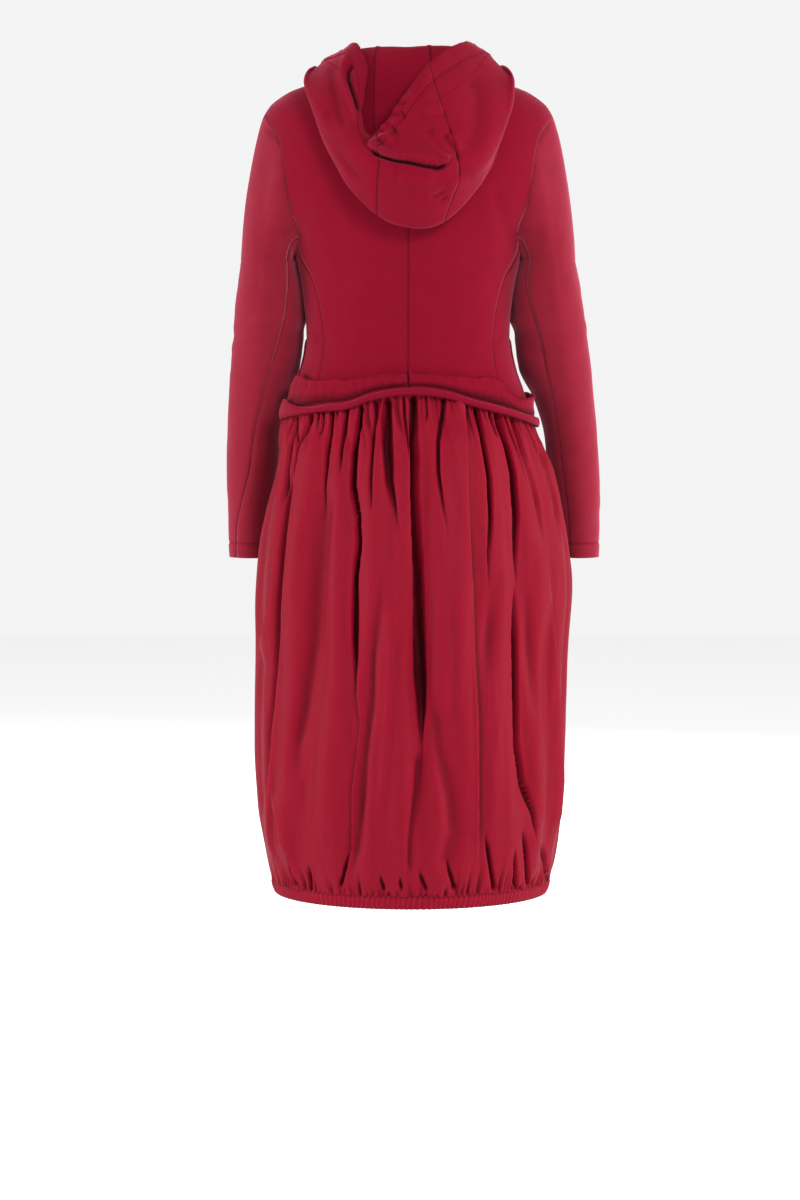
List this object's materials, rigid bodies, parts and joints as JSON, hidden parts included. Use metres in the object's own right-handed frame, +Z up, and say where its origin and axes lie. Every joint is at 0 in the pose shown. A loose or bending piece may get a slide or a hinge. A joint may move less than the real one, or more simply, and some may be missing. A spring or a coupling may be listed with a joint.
{
  "type": "jacket dress",
  "caption": "Hooded red jacket dress with a fitted jersey bodice, long two-piece sleeves, raw-edged waist strips and a gathered skirt with an elastic hem",
  "frame": {"origin": "the middle of the neck opening, level with the back neck seam", "axes": "+Z is up along the wearer's height; the garment's front faces -Y; the wearer's left is +X"},
  "size_m": [0.5343, 0.3496, 1.1693],
  "materials": {
    "jersey": "matte brushed cotton jersey, cut edges left raw",
    "woven": "light crisp plain weave with a slight sheen",
    "tape": "dense woven tape",
    "teeth": "moulded, satin",
    "painted_metal": "painted, satin"
  },
  "bodies": {
    "root": {"back_left": "jersey", "back_right": "jersey", "side_back_left": "jersey", "side_back_right": "jersey", "front_left": "jersey", "front_right": "jersey", "sleeve_upper_left": "jersey", "sleeve_upper_right": "jersey", "sleeve_under_left": "jersey", "sleeve_under_right": "jersey", "hood_left": "jersey", "hood_centre": "jersey", "hood_right": "jersey", "waist_flap_left": "jersey", "waist_flap_right": "jersey", "waist_band": "jersey", "skirt_back": "woven", "skirt_front": "woven", "hem_casing": "woven", "zip_tape_left": "tape", "zip_tape_right": "tape", "zip_chain": "teeth", "zip_slider": "painted_metal"},
    "zip_pull_tab": {"zip_pull": "painted_metal"}
  },
  "joints": [
    {"name": "zip_pull_swing", "type": "hinge", "parent": "root", "child": "zip_pull_tab", "pos_m": [0, -0.10185, -0.08408], "axis": [-1, 0, 0], "range_deg": [0, 140]}
  ]
}
